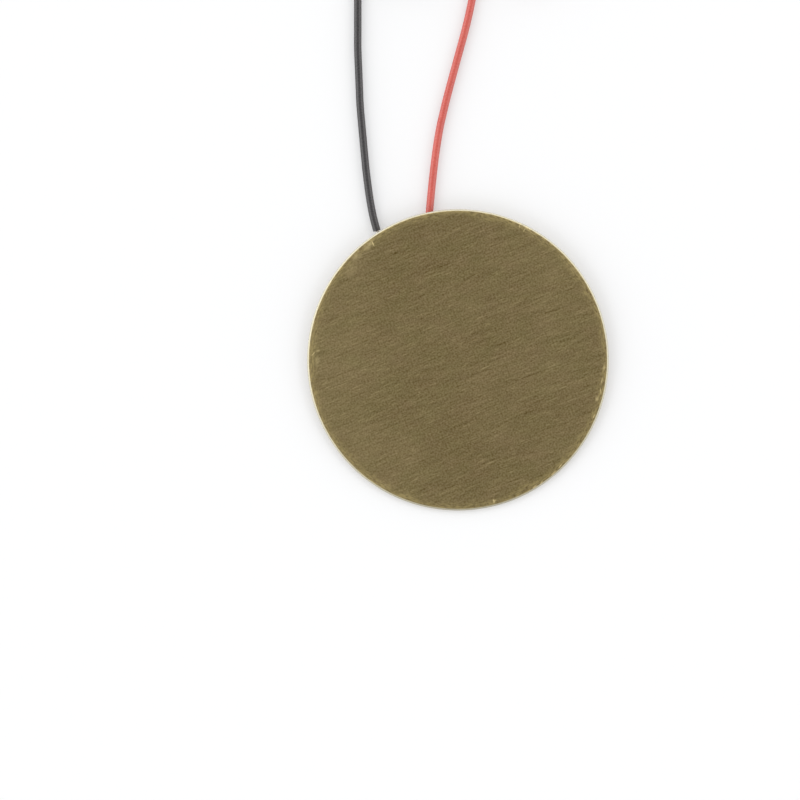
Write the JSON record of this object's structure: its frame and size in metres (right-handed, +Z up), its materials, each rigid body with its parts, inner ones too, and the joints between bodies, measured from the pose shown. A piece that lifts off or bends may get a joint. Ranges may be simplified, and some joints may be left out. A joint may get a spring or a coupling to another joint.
{
  "type": "piezo disc",
  "caption": "Thin round brass plate with a bonded piezo ceramic and soldered wire leads; bends to make sound or to sense vibration.",
  "frame": {"origin": "on the surface the part lies on, under the middle of the brass plate", "axes": "+Z up from the surface; +Y the way both leads run away from the plate; +X to the red lead's side. The plate leans 2.4 degrees up towards +Y, because it rests on the solder under its rim and on the far side of the ceramic"},
  "size_m": [0.02, 0.0458, 0.0011],
  "materials": {
    "brass": "fine brushed sheet, lightly tarnished, bare at the rolled edge",
    "glue": "cured clear amber epoxy",
    "silver": "matt fired silver",
    "piezo_ceramic": "fine unglazed ceramic",
    "solder": "satin tin solder",
    "tinned_copper": "bright tinned strands",
    "black_insulation": "satin black plastic insulation",
    "red_insulation": "satin red plastic insulation",
    "tie": "matt paper band"
  },
  "bodies": {
    "root": {"brass_disc": "brass", "bond_film": "glue", "inner_electrode": "silver", "ceramic_disc": "piezo_ceramic", "outer_electrode": "silver", "rim_solder": "solder", "electrode_solder": "solder", "black_conductor": "tinned_copper", "black_lead": "black_insulation", "black_lead_coil": "black_insulation", "black_lead_tail": "black_insulation", "black_lead_tip": "tinned_copper", "black_coil_tie": "tie", "red_conductor": "tinned_copper", "red_lead": "red_insulation", "red_lead_coil": "red_insulation", "red_lead_tail": "red_insulation", "red_lead_tip": "tinned_copper", "red_coil_tie": "tie"}
  },
  "joints": []
}
